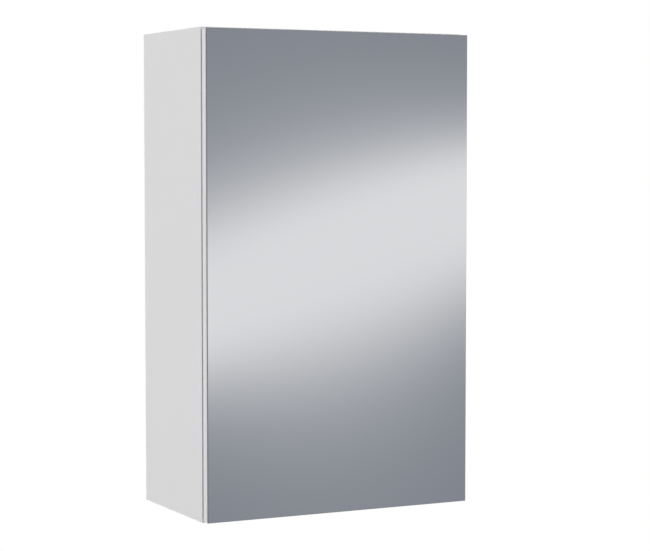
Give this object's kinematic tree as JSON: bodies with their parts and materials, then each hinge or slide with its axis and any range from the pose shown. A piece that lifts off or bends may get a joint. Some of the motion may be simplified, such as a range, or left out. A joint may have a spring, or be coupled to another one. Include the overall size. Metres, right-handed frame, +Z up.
{
  "type": "bathroom mirror cabinet",
  "caption": "Wall-hung bathroom cabinet of white board: a full mirror door on a piano hinge opens on shelves, and hidden hangers hook it over plates on the wall.",
  "frame": {"origin": "middle of the four wall-screw holes, on the wall plane", "axes": "+X to the right seen from the front, +Y to the wall, +Z up"},
  "size_m": [0.3951, 0.22, 0.65],
  "materials": {
    "white_board": "satin white melamine on particle board",
    "door_board": "satin white melamine on particle board",
    "back_board": "hardboard, white lacquered towards the inside",
    "white_edging": "white plastic edging",
    "mirror": "silvered float glass with ground edges",
    "foam_tape": "white foam mounting tape",
    "dowel_wood": "plain beech",
    "zinc": "die-cast zinc and plated steel",
    "white_plastic": "moulded white plastic",
    "support_steel": "nickel-plated steel",
    "galvanised_steel": "galvanised steel",
    "hinge_steel": "nickel-plated steel",
    "ferrite": "dark sintered magnet",
    "clear_rubber": "translucent silicone"
  },
  "bodies": {
    "carcass": {"left_side_panel": "white_board", "right_side_panel": "white_board", "top_panel": "white_board", "bottom_panel": "white_board", "lower_shelf": "white_board", "upper_shelf": "white_board", "back_panel": "back_board", "body_edge_bands": "white_edging", "shelf_edge_bands": "white_edging", "dowels": "dowel_wood", "cam_bolts": "zinc", "cam_locks": "zinc", "cam_caps": "white_plastic", "left_hanger": "white_plastic", "right_hanger": "white_plastic", "catch_housing": "white_plastic", "shelf_supports": "support_steel", "hanger_hooks": "galvanised_steel", "left_wall_plate": "galvanised_steel", "right_wall_plate": "galvanised_steel", "hanger_adjusters": "galvanised_steel", "hanger_fixings": "galvanised_steel", "catch_fixings": "galvanised_steel", "frame_leaf": "hinge_steel", "hinge_pin": "hinge_steel", "frame_leaf_screws": "hinge_steel", "catch_poles": "hinge_steel", "catch_magnet": "ferrite"},
    "door": {"door_panel": "door_board", "door_edge_bands": "white_edging", "mirror_glass": "mirror", "mirror_tape": "foam_tape", "door_bumpers": "clear_rubber", "door_leaf": "hinge_steel", "door_leaf_screws": "hinge_steel", "catch_strike": "hinge_steel", "strike_screw": "hinge_steel"}
  },
  "joints": [
    {"name": "door_hinge", "type": "hinge", "parent": "carcass", "child": "door", "pos_m": [0.1977, -0.2026, -0.265], "axis": [0, 0, 1], "range_deg": [0, 170]}
  ]
}
